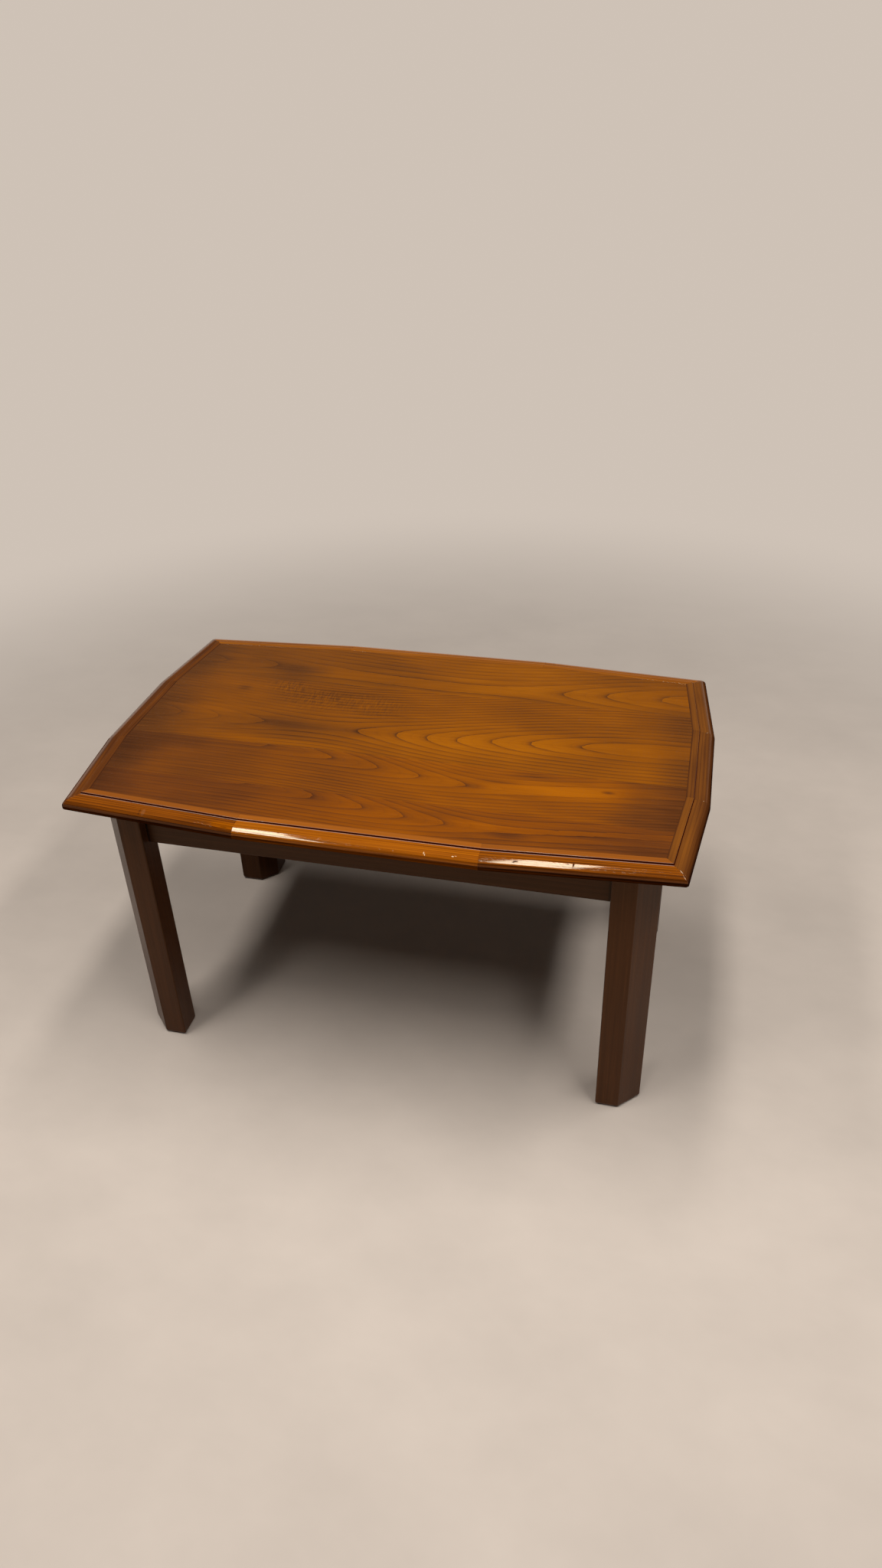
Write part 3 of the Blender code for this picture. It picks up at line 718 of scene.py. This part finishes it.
def rim_finish(facet, underside):
    """Straight-grained wood along a piece, darker in the step's riser with dark glaze and painted shade,
    darker towards the lower edge with toned stain and painted shade, and with a painted highlight along the
    step.
    """
    material, tree, shader = new_finish(f"lacquered_rim_{facet}", Specular_Tint=RIM_LACQUER_TINT)
    side = RIM_SIDES[facet.split("_")[0]]
    along, across = grain_signals(tree)
    place = (along, across)
    height = place_signals(tree)[ALONG_Z] - underside * MM
    line = rim_lines(along, across)
    fibre = texture(place, RIM_FIBRE)
    streak = texture(place, RIM_STREAK)
    cloud = texture(place, RIM_CLOUD)
    pores = texture(place, RIM_PORES).rise(*PORE_EDGE)
    dents, scuffs, rubbed = [marks(along, across, facet, kind) for kind in (DENTS, SCUFFS, RUBBED)]
    band = 1.0 - across.rise(*BAND_EDGE)
    riser = across.between(*side.riser)
    lower = 1.0 - height.rise(*LOWER_EDGE)
    tone = weighted(
        # Each piece's lightness holds painted shade for how it faces the light
        RIM_LIGHTNESS_WITH_SHADE[facet] + RIM_BOLD_LIFT * side.boldness, RIM_TONE,
        cloud=cloud, streak=streak * side.boldness, fibre=fibre, pores=pores,
        lines=line * (1.0 - band * BAND_LINE_LOSS) * side.boldness ** 2,
        # Darker towards the lower edge: toned stain and painted shade
        lower=1.0 - height.rise(*LOWER_STAIN_AND_SHADE), dents=dents, rubbed=rubbed,
    )
    tone = tone + (1.0 - across.rise(*INNER_EDGE)) * side.inner
    # Painted highlight along the band's arris and at the foot of the riser
    painted_highlight = across.between(*UPPER_ARRIS) * UPPER_HIGHLIGHT_SHARE + across.between(*LEDGE_LINE)
    colour = ramp(tone, tinted(RIM_COLOURS, side.tint))
    colour = blend(band * side.calm, colour, BAND_COLOUR)
    colour = blend(scuffs * SCUFF_COVER, colour, SCUFF_COLOUR)
    colour = blend(painted_highlight * side.pale, colour, PAINTED_HIGHLIGHT_COLOUR)
    # Dark glaze and painted shade in the riser of the step
    colour = blend(riser * GLAZE_AND_SHADE_COVER, colour, GLAZE_AND_SHADE_COLOUR)
    tree.links.new(colour, shader.inputs["Base Color"])
    dull = weighted(
        0.0, RIM_DULLNESS, dull=1.0 - height.rise(*side.dull), rubbed=rubbed, riser=riser,
        dents=dents, lines=line, pores=pores,
    )
    feed(shader.inputs["Specular IOR Level"], (1.0 - dull.math("MINIMUM", 1.0)) * RIM_SPECULAR)
    roughness = weighted(
        RIM_ROUGHNESS, RIM_ROUGHNESS_PARTS, cloud=cloud, lower=lower, riser=riser, dents=dents
    )
    feed(shader.inputs["Roughness"], roughness)
    surface = weighted(0.0, RIM_RELIEF, pores=pores, fibre=fibre, streak=streak, dents=dents)
    relief(shader, surface, RIM_RELIEF_DEPTH)
    return material


def stained_finish(name, axis, lightness, joint=None):
    """Dark brown stain under a satin lacquer, with the grain along one axis of the table.

    A rail has a joint at that distance from its middle, with painted shade in the corner there, where it
    meets the leg.
    """
    material, tree, shader = new_finish(
        name, Specular_IOR_Level=STAIN_SPECULAR, Specular_Tint=FRAME_LACQUER_TINT
    )
    place = place_signals(tree)
    streak = texture(place, STAIN_STREAK, axis)
    fibre = texture(place, STAIN_FIBRE, axis)
    pores = texture(place, STAIN_PORES, axis).rise(*PORE_EDGE)
    cloud = texture(place, STAIN_CLOUD, axis)
    tone = weighted(lightness, STAIN_TONE, cloud=cloud, streak=streak, fibre=fibre, pores=pores)
    if joint:
        from_joint = joint * MM - place[axis].math("ABSOLUTE")
        # Painted shade in the corner where the rail meets the leg
        tone = tone - (1.0 - from_joint.rise(*JOINT_SHADE)) * JOINT_SHADE_DEPTH
    tree.links.new(ramp(tone, FRAME_COLOURS), shader.inputs["Base Color"])
    roughness = weighted(STAIN_ROUGHNESS, STAIN_ROUGHNESS_PARTS, cloud=cloud, fibre=fibre)
    feed(shader.inputs["Roughness"], roughness)
    relief(shader, weighted(0.0, STAIN_RELIEF, pores=pores, fibre=fibre), STAIN_RELIEF_DEPTH)
    return material


def plain_wood_finish(name, axis):
    """Bare wood that is never seen from above."""
    material, tree, shader = new_finish(
        name, Roughness=PLAIN_ROUGHNESS, Specular_IOR_Level=PLAIN_SPECULAR
    )
    place = place_signals(tree)
    streak = texture(place, PLAIN_STREAK, axis)
    fibre = texture(place, PLAIN_FIBRE, axis)
    tone = weighted(PLAIN_LIGHTNESS, PLAIN_TONE, streak=streak, fibre=fibre)
    tree.links.new(ramp(tone, PLAIN_COLOURS), shader.inputs["Base Color"])
    relief(shader, fibre, PLAIN_RELIEF_DEPTH)
    return material


def steel_finish():
    """Zinc plate: pale grey with a faint spangle and a brushed roughness."""
    material, tree, shader = new_finish("zinc_steel", Metallic=1.0)
    place = place_signals(tree)
    spangle = texture(place, STEEL_SPANGLE)
    scratch = texture(place, STEEL_SCRATCH)
    tone = weighted(STEEL_LIGHTNESS, STEEL_TONE, spangle=spangle, scratch=scratch)
    tree.links.new(ramp(tone, STEEL_COLOURS), shader.inputs["Base Color"])
    roughness = weighted(STEEL_ROUGHNESS, STEEL_ROUGHNESS_PARTS, spangle=spangle, scratch=scratch)
    feed(shader.inputs["Roughness"], roughness)
    return material


# Meshes

def add_piece(name, mesh, material, slot, *nodes):
    """A finished piece in place of CAD nodes."""
    mesh.shade_smooth()
    mesh.set_sharp_from_angle(angle=SMOOTH_ANGLE)
    mesh.materials.clear()
    mesh.materials.append(material)
    piece = bpy.data.objects.new(name, mesh)
    SCENE.collection.objects.link(piece)
    shading = piece.modifiers.new("Even shading", "WEIGHTED_NORMAL")
    shading.keep_sharp = True
    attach(piece, "root")
    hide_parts(*nodes)


def ring_mesh(name, rings, grain=None):
    """A closed mesh through rings of points, with flat ends. Grain gives a ring's and a point's (u, v)."""
    cage = bmesh.new()
    rows = [[cage.verts.new(point) for point in ring] for ring in rings]
    count = len(rows[0])
    layer = cage.loops.layers.uv.new("grain") if grain else None
    for i in range(len(rows) - 1):
        for k in range(count):
            corners = ((i, k), (i, k + 1), (i + 1, k + 1), (i + 1, k))
            face = cage.faces.new([rows[row][point % count] for row, point in corners])
            for loop, (row, point) in zip(face.loops, corners):
                if grain:
                    loop[layer].uv = grain(row, point)
    ends = [cage.faces.new(rows[0]), cage.faces.new(rows[-1])]
    for end, row in zip(ends, (0, len(rows) - 1)):
        for loop, point in zip(end.loops, range(count)):
            if grain:
                loop[layer].uv = grain(row, point)
    bmesh.ops.recalc_face_normals(cage, faces=cage.faces)
    bmesh.ops.triangulate(cage, faces=ends)
    mesh = bpy.data.meshes.new(name)
    cage.to_mesh(mesh)
    cage.free()
    return mesh


# Rim

def outer_corners():
    """The twelve corners of the top's outline, anticlockwise from the front-left one."""
    boxes = {name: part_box(f"rim_{name}") for name in RIM_FACETS}
    low = {name: box[0] for name, box in boxes.items()}
    high = {name: box[1] for name, box in boxes.items()}
    corners = (
        (low["front_left"].x, low["left_front"].y),
        (low["front_middle"].x, low["front_middle"].y),
        (high["front_middle"].x, low["front_middle"].y),
        (high["front_right"].x, low["right_front"].y),
        (high["right_middle"].x, low["right_middle"].y),
        (high["right_middle"].x, high["right_middle"].y),
        (high["back_right"].x, high["right_back"].y),
        (high["back_middle"].x, high["back_middle"].y),
        (low["back_middle"].x, high["back_middle"].y),
        (low["back_left"].x, high["left_back"].y),
        (low["left_middle"].x, high["left_middle"].y),
        (low["left_middle"].x, low["left_middle"].y),
    )
    return [Vector(corner) for corner in corners]


def facet_direction(i):
    return (OUTLINE[(i + 1) % len(OUTLINE)] - OUTLINE[i % len(OUTLINE)]).normalized()


def mitre(i):
    """How far a corner of the outline moves for each metre that the outline moves in."""
    before, after = facet_direction(i - 1), facet_direction(i)
    inwards = [Vector((-way.y, way.x)) for way in (before, after)]
    return (inwards[0] + inwards[1]) / (1.0 + inwards[0].dot(inwards[1]))


def arc(middle, radius_in, radius_up, start, end, steps):
    """Points of a quarter of an ellipse in the rim's section. Angles are from inwards, towards up."""
    points = []
    for i in range(steps + 1):
        angle = math.radians(start + (end - start) * i / steps)
        points.append((middle[0] + radius_in * math.cos(angle), middle[1] + radius_up * math.sin(angle)))
    return points


def rim_section(thickness):
    """Section of the rim from the field outwards and round to its groove: inset, then height."""
    ledge = thickness - RIM_STEP
    shoulder = RIM_UPRIGHT + RIM_FOOT_RADIUS
    groove_low = thickness / 2 - TONGUE_THICKNESS / 2 - TONGUE_ROOM
    groove_high = thickness / 2 + TONGUE_THICKNESS / 2 + TONGUE_ROOM
    groove_end = RIM_WIDTH - TONGUE_LENGTH
    arris = (RIM_OVERHANG + BAND_ARRIS, thickness - BAND_ARRIS)
    fillet = (RIM_OVERHANG - RISER_FILLET, ledge + RISER_FILLET)
    foot = (RIM_FOOT_RADIUS, RIM_FOOT_RADIUS)
    points = [(RIM_WIDTH, thickness - BAND_EASE), (RIM_WIDTH - BAND_EASE, thickness)]
    points += arc(arris, BAND_ARRIS, BAND_ARRIS, 90, 180, SMALL_STEPS)
    points += arc(fillet, RISER_FILLET, RISER_FILLET, 0, -90, SMALL_STEPS)
    points += arc((RIM_ROUND, shoulder), RIM_ROUND, ledge - shoulder, 90, 180, ROUND_OVER_STEPS)
    points += arc(foot, RIM_FOOT_RADIUS, RIM_FOOT_RADIUS, 180, 270, SMALL_STEPS)
    points += [(RIM_WIDTH, 0), (RIM_WIDTH, groove_low), (groove_end, groove_low)]
    points += [(groove_end, groove_high), (RIM_WIDTH, groove_high)]
    return points


def shrunk(section, amount, reach=None):
    """The section with its edge moved in, less so further from its outer edge where a reach is given."""
    count = len(section)
    moved = []
    for i, point in enumerate(section):
        way = Vector(section[(i + 1) % count]) - Vector(section[i - 1])
        inwards = Vector((-way.y, way.x)).normalized()
        share = max(0.0, 1.0 - point[0] / reach) if reach else 1.0
        moved.append(tuple(Vector(point) + inwards * amount * share))
    return moved


def end_sections(section, corner):
    """How a rim piece ends at a corner of the outline: distances from the joint, with the section at each."""
    if corner % PIECES_PER_SIDE:
        return [(RIM_END_GAP, shrunk(section, RIM_END_EASE)), (RIM_END_GAP + RIM_END_EASE, section)]
    ends = []
    for step in range(MITRE_WEAR_STEPS + 1):
        share = step / MITRE_WEAR_STEPS
        worn = shrunk(section, MITRE_WEAR * (1.0 - share) ** 2, RIM_OVERHANG)
        ends.append((RIM_END_GAP + MITRE_WEAR_LENGTH * share, worn))
    return ends


def rim_piece(i, material):
    """One length of moulding between two joints."""
    name = RIM_FACETS[i]
    low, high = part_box(f"rim_{name}")
    section = rim_section(high.z - low.z)
    following = (i + 1) % len(OUTLINE)
    start, end = OUTLINE[i], OUTLINE[following]
    along = facet_direction(i)
    stations = [(start, mitre(i), offset, points) for offset, points in end_sections(section, i)]
    for offset, points in reversed(end_sections(section, following)):
        stations.append((end, mitre(following), -offset, points))
    rings = []
    for corner, inwards, offset, points in stations:
        places = [(corner + inwards * inset + along * offset, height) for inset, height in points]
        rings.append([(place.x, place.y, low.z + height) for place, height in places])
    girth = [0.0]
    for k in range(len(section)):
        girth.append(girth[-1] + math.dist(section[k], section[(k + 1) % len(section)]))

    def grain(row, point):
        x, y, _ = rings[row][point % len(section)]
        return ((Vector((x, y)) - start).dot(along) + PIECE_GRAIN_SHIFT * i, girth[point])

    mesh = ring_mesh(f"rim_{name}_lipping", rings, grain)
    add_piece(f"rim_{name}_lipping", mesh, material, "lacquered_rim", f"rim_{name}")


# Field

def inset_outline(inset):
    return [corner + mitre(i) * inset for i, corner in enumerate(OUTLINE)]


def kept_side(points, level, way):
    """The part of a convex outline above a level of y (way 1) or below it (way -1)."""
    kept = []
    for first, second in zip(points, points[1:] + points[:1]):
        a, b = (first.y - level) * way, (second.y - level) * way
        if a >= 0:
            kept.append(first)
        if a * b < 0:
            kept.append(first.lerp(second, a / (a - b)))
    return kept


def board_outline(seams, inset, ease):
    """Outline of a board between its seams, where it has them, moved in by its ease."""
    points = inset_outline(inset + ease)
    near, far = seams
    if near is not None:
        points = kept_side(points, near + FIELD_JOINT / 2 + ease, 1)
    if far is not None:
        points = kept_side(points, far - FIELD_JOINT / 2 - ease, -1)
    return points


def build_field():
    """Four boards side by side, their arrises just eased."""
    order = tuple(reversed(BOARDS))
    boxes = [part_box(f"face_veneer_{name}") for name in order]
    seams = [(nearer[1].y + farther[0].y) / 2 for nearer, farther in zip(boxes, boxes[1:])]
    for name, sides, (low, high) in zip(order, zip([None] + seams, seams + [None]), boxes):
        rings = []
        for height, ease in ((low.z, 0.0), (high.z - FIELD_EASE, 0.0), (high.z, FIELD_EASE)):
            points = board_outline(sides, RIM_WIDTH + FIELD_JOINT, ease)
            rings.append([(point.x, point.y, height) for point in points])
        mesh = ring_mesh(f"face_veneer_{name}_leaf", rings)
        material = board_finish(name, BOARDS[name])
        add_piece(f"face_veneer_{name}_leaf", mesh, material, "lacquered_field", f"face_veneer_{name}")


# Legs

def rounded(points, radius, steps):
    """A convex outline with each corner rounded by an arc."""
    made = []
    for i, corner in enumerate(points):
        to_last = (points[i - 1] - corner).normalized()
        to_next = (points[(i + 1) % len(points)] - corner).normalized()
        half = to_last.angle(to_next) / 2
        middle = corner + (to_last + to_next).normalized() * (radius / math.sin(half))
        start = corner + to_last * (radius / math.tan(half)) - middle
        end = corner + to_next * (radius / math.tan(half)) - middle
        sweep = start.angle_signed(end)
        for k in range(steps + 1):
            turn = Matrix.Rotation(-sweep * k / steps, 2)
            made.append(middle + turn @ start)
    return made


def post_outline(inset):
    """Section of a leg, along its two sides outwards from its middle, moved in all round."""
    half = LEG_SIDE / 2
    outer = half - LEG_OUTER_CHAMFER
    inner = LEG_INNER_CHAMFER - half
    diagonal = inset * math.tan(LEG_HALF_TURN)
    half -= inset
    outer -= diagonal
    inner += diagonal
    post = ((half, outer), (outer, half), (-half, half), (-half, inner), (inner, -half), (half, -half))
    return [Vector(point) for point in post]


def build_leg(where, ways, material):
    """A post with a rounded foot. Ways point outwards along X and Y."""
    low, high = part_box(f"leg_{where}")
    middle = (low + high) / 2
    levels = []
    for i in range(LEG_FOOT_STEPS + 1):
        angle = math.pi / 2 * i / LEG_FOOT_STEPS
        inset = LEG_FOOT_RADIUS * (1 - math.sin(angle))
        levels.append((inset, low.z + LEG_FOOT_RADIUS * (1 - math.cos(angle))))
    levels.append((0.0, high.z))
    rings = []
    for inset, height in levels:
        outline = rounded(post_outline(inset), LEG_ARRIS, LEG_ARRIS_STEPS)
        rings.append([(middle.x + u * ways[0], middle.y + v * ways[1], height) for u, v in outline])
    mesh = ring_mesh(f"leg_{where}_post", rings)
    add_piece(f"leg_{where}_post", mesh, material, "stained_frame", f"leg_{where}")


# Room

def build_floor():
    mesh = bpy.data.meshes.new("floor")
    cage = bmesh.new()
    bmesh.ops.create_circle(cage, cap_ends=True, segments=FLOOR_SIDES, radius=FLOOR_RADIUS)
    cage.to_mesh(mesh)
    cage.free()
    floor = bpy.data.objects.new("floor", mesh)
    SCENE.collection.objects.link(floor)
    mesh.materials.append(floor_finish())


def shown(tree):
    """1 where a backdrop is seen, straight or in a gloss, and 0 where it would only light the table."""
    path = tree.nodes.new("ShaderNodeLightPath")
    rays = ("Is Camera Ray", "Is Glossy Ray", "Is Transmission Ray")
    straight, glossy, through = [Signal(tree, path.outputs[ray]) for ray in rays]
    return straight.math("MAXIMUM", glossy).math("MAXIMUM", through)


def backdrop(behind):
    """Colour of the backdrop, from how far a direction points behind the table, between -1 and 1."""
    return ramp(behind.rise(*BACKDROP_REACH), ((0.0, ROOM_COLOUR), (1.0, BACKDROP_COLOUR)))


def floor_finish():
    """Plain pale floor that fades into the backdrop far away, and can be seen through from below."""
    material, tree, shader = new_finish("pale_floor", Roughness=FLOOR_ROUGHNESS, Specular_IOR_Level=0.0)
    x, y, _ = place_signals(tree)
    mottle = texture((x, y), FLOOR_MOTTLE) * 0.5 + 0.5
    levels = ((0.0, FLOOR_DARKEST), (1.0, FLOOR_LIGHTEST))
    stops = [(place, [part * level for part in FLOOR_COLOUR]) for place, level in levels]
    tree.links.new(ramp(mottle, stops), shader.inputs["Base Color"])
    glow = tree.nodes.new("ShaderNodeEmission")
    distance = (x * x + y * y).math("SQRT")
    tree.links.new(backdrop(y / distance), glow.inputs["Color"])
    far = distance.rise(FLOOR_FADE[0] * MM, FLOOR_FADE[1] * MM) * shown(tree)
    faded = tree.nodes.new("ShaderNodeMixShader")
    feed(faded.inputs[0], far)
    tree.links.new(shader.outputs[0], faded.inputs[1])
    tree.links.new(glow.outputs[0], faded.inputs[2])
    side = tree.nodes.new("ShaderNodeNewGeometry")
    clear = tree.nodes.new("ShaderNodeBsdfTransparent")
    sided = tree.nodes.new("ShaderNodeMixShader")
    tree.links.new(side.outputs["Backfacing"], sided.inputs[0])
    tree.links.new(faded.outputs[0], sided.inputs[1])
    tree.links.new(clear.outputs[0], sided.inputs[2])
    tree.links.new(sided.outputs[0], tree.nodes["Material Output"].inputs["Surface"])
    return material


def build_lamps():
    for strip in STRIPS:
        length = strip.far - strip.near
        lamp = bpy.data.lights.new(strip.name, "AREA")
        lamp.shape = "RECTANGLE"
        lamp.size = strip.width
        lamp.size_y = length
        lamp.energy = strip.radiance * math.pi * strip.width * length
        lamp.color = LAMP_COLOUR
        holder = bpy.data.objects.new(strip.name, lamp)
        holder.location = (strip.x, (strip.near + strip.far) / 2, strip.height)
        SCENE.collection.objects.link(holder)


def build_world():
    """A pale backdrop, darker walls above it and a lighter ceiling. What they light is an even, dim fill."""
    world = bpy.data.worlds.new("studio")
    world.use_nodes = True
    SCENE.world = world
    tree = world.node_tree
    direction = tree.nodes.new("ShaderNodeTexCoord")
    parts = tree.nodes.new("ShaderNodeSeparateXYZ")
    tree.links.new(direction.outputs["Generated"], parts.inputs[0])
    height = Signal(tree, parts.outputs["Z"])
    above = ramp(height, ((CEILING_START, WALL_COLOUR), (1.0, CEILING_COLOUR)))
    colours = tree.nodes.new("ShaderNodeMix")
    colours.data_type = "RGBA"
    feed(colours.inputs["Factor"], height.rise(BACKDROP_TOP, WALL_START))
    tree.links.new(backdrop(Signal(tree, parts.outputs["Y"])), colours.inputs["A"])
    tree.links.new(above, colours.inputs["B"])
    fill = tree.nodes["Background"]
    fill.inputs["Color"].default_value = (*FILL_COLOUR, 1.0)
    view = tree.nodes.new("ShaderNodeBackground")
    tree.links.new(colours.outputs["Result"], view.inputs["Color"])
    both = tree.nodes.new("ShaderNodeMixShader")
    feed(both.inputs[0], shown(tree))
    tree.links.new(fill.outputs[0], both.inputs[1])
    tree.links.new(view.outputs[0], both.inputs[2])
    tree.links.new(both.outputs[0], tree.nodes["World Output"].inputs["Surface"])


def build_camera():
    lens = bpy.data.cameras.new("camera")
    lens.lens = CAMERA_LENS
    lens.sensor_width = CAMERA_SENSOR
    lens.sensor_fit = "AUTO"
    camera = bpy.data.objects.new("camera", lens)
    turn = Matrix.Rotation(CAMERA_TURN, 4, "Z") @ Matrix.Rotation(math.pi / 2 - CAMERA_DIP, 4, "X")
    camera.matrix_world = Matrix.Translation(CAMERA_PLACE) @ turn @ Matrix.Rotation(CAMERA_ROLL, 4, "Z")
    SCENE.collection.objects.link(camera)
    SCENE.camera = camera


# Table

def finish_nodes(material, arris, *starts):
    """A better material and eased arrises for the CAD nodes that stay, by the starts of their names."""
    for name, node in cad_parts.items():
        if name.startswith(starts):
            node.data.materials.clear()
            node.data.materials.append(material)
            ease = node.modifiers.new("Eased arrises", "BEVEL")
            ease.width = arris
            ease.segments = ARRIS_STEPS
            ease.limit_method = "ANGLE"
            ease.angle_limit = ARRIS_ANGLE
            ease.harden_normals = True


build_camera()
build_world()
build_lamps()
build_floor()

OUTLINE = outer_corners()
TOP_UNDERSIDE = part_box("rim_front_middle")[0].z
for index, facet_name in enumerate(RIM_FACETS):
    rim_piece(index, rim_finish(facet_name, TOP_UNDERSIDE))
build_field()
for corner_name, corner_ways in CORNERS.items():
    # Each leg's lightness holds painted light and shade
    stain = stained_finish(f"stained_frame_{corner_name}", ALONG_Z, LEG_LIGHT_AND_SHADE[corner_name])
    build_leg(corner_name, corner_ways, stain)

LEG_INNER_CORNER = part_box("leg_back_right")[0]
# The aprons' lightness holds painted shade, with more painted shade where they meet the legs
LONG_STAIN = stained_finish("stained_frame_long", ALONG_X, APRON_SHADED_LIGHTNESS, LEG_INNER_CORNER.x)
SHORT_STAIN = stained_finish("stained_frame_short", ALONG_Y, APRON_SHADED_LIGHTNESS, LEG_INNER_CORNER.y)
finish_nodes(LONG_STAIN, RAIL_ARRIS, "apron_front", "apron_back")
finish_nodes(SHORT_STAIN, RAIL_ARRIS, "apron_left", "apron_right")
finish_nodes(plain_wood_finish("panel_core", ALONG_X), PANEL_ARRIS, "top_core", "backing_veneer")
finish_nodes(plain_wood_finish("button_wood", ALONG_Y), BUTTON_ARRIS, "top_button")
finish_nodes(steel_finish(), STEEL_ARRIS, "corner_plate", "hanger_bolt", "washer", "wing_nut", "button_screw")

SCENE.view_settings.view_transform = "Standard"
